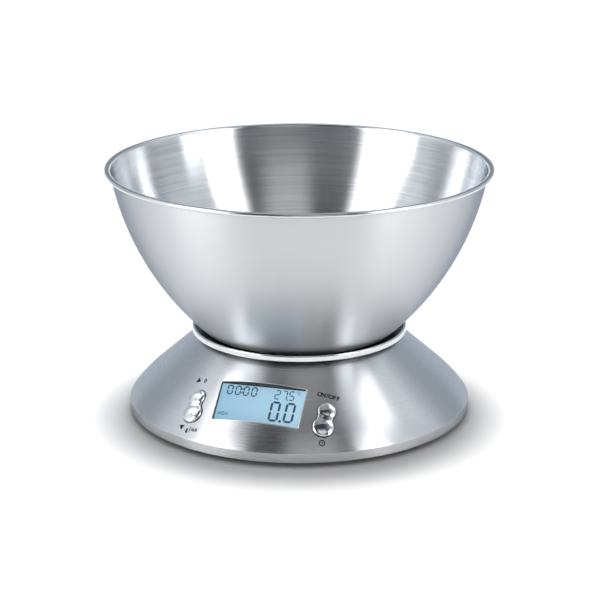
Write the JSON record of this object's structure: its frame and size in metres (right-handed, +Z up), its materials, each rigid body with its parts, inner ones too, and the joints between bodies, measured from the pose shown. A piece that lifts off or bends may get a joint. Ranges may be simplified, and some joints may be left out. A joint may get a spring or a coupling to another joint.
{
  "type": "kitchen scale",
  "caption": "Electronic kitchen scale: steel dome base with recessed sloping display and chrome rocker buttons, round sprung tray, and a lift-off flared steel mixing bowl",
  "frame": {"origin": "centre of the footprint on the table, on the common axis of bowl, tray and base", "axes": "+Z up, the display and buttons face -Y, +X to the right when looking at the display"},
  "size_m": [0.214, 0.214, 0.14],
  "materials": {
    "bowl_steel": "brushed round the bowl, satin",
    "dome_steel": "brushed round the dome, satin",
    "tray_steel": "polished rolled rim",
    "button_chrome": "mirror chrome over plastic",
    "window_clear": "clear acrylic, gloss",
    "lcd_pale_blue": "pale blue display with dark segments",
    "light_guide_white": "milky acrylic",
    "contact_rubber": "silicone, matte",
    "circuit_board": "green solder mask",
    "epoxy_black": "black epoxy",
    "switch_black": "moulded",
    "housing_abs": "black ABS, fine grain",
    "base_abs": "black ABS, fine grain",
    "foot_rubber": "soft rubber",
    "beam_aluminium": "milled",
    "gauge_film": "polyimide film",
    "screw_steel": "zinc plated",
    "battery_sleeve": "plain dark printed sleeve",
    "contact_nickel": "nickel plated spring steel"
  },
  "bodies": {
    "base": {"battery_front": "battery_sleeve", "battery_plates": "contact_nickel", "battery_rear": "battery_sleeve", "battery_springs": "contact_nickel", "board_screws": "screw_steel", "bottom_cover": "base_abs", "buzzer": "epoxy_black", "display_window": "window_clear", "dome_cover": "dome_steel", "foot_front_left": "foot_rubber", "foot_front_right": "foot_rubber", "foot_rear_left": "foot_rubber", "foot_rear_right": "foot_rubber", "housing_screws": "screw_steel", "lcd_backlight": "light_guide_white", "lcd_glass": "lcd_pale_blue", "left_button_board": "circuit_board", "left_switches": "switch_black", "load_cell": "beam_aluminium", "load_cell_screws": "screw_steel", "load_cell_spacer": "beam_aluminium", "main_board": "circuit_board", "main_chip": "epoxy_black", "right_button_board": "circuit_board", "right_switches": "switch_black", "strain_gauges": "gauge_film", "thermistor": "epoxy_black", "upper_housing": "housing_abs", "zebra_strip": "contact_rubber"},
    "platform": {"weighing_tray": "tray_steel", "platform_carrier": "housing_abs", "carrier_screws": "screw_steel"},
    "bowl": {"mixing_bowl": "bowl_steel"},
    "left_button": {"left_rocker": "button_chrome"},
    "right_button": {"right_rocker": "button_chrome"},
    "door": {"battery_door": "base_abs"}
  },
  "joints": [
    {"name": "platform_press", "type": "slide", "parent": "base", "child": "platform", "axis": [0, 0, -1], "range_m": [0, 0.0006], "stiffness_N_per_m": 80000, "deforming": ["load_cell"]},
    {"name": "bowl_lift", "type": "slide", "parent": "platform", "child": "bowl", "axis": [0, 0, 1], "range_m": [0, 0.15]},
    {"name": "left_rocker_tilt", "type": "hinge", "parent": "base", "child": "left_button", "pos_m": [-0.03479, -0.0718, 0.018], "axis": [0.9574, -0.1908, 0.2165], "range_deg": [-3, 3], "stiffness_Nm_per_rad": 0.2},
    {"name": "right_rocker_tilt", "type": "hinge", "parent": "base", "child": "right_button", "pos_m": [0.03479, -0.0718, 0.018], "axis": [0.9574, 0.1908, -0.2165], "range_deg": [-3, 3], "stiffness_Nm_per_rad": 0.2},
    {"name": "battery_door_swing", "type": "hinge", "parent": "base", "child": "door", "pos_m": [0, 0.03935, 0.0046], "axis": [1, 0, 0], "range_deg": [0, 90]}
  ]
}
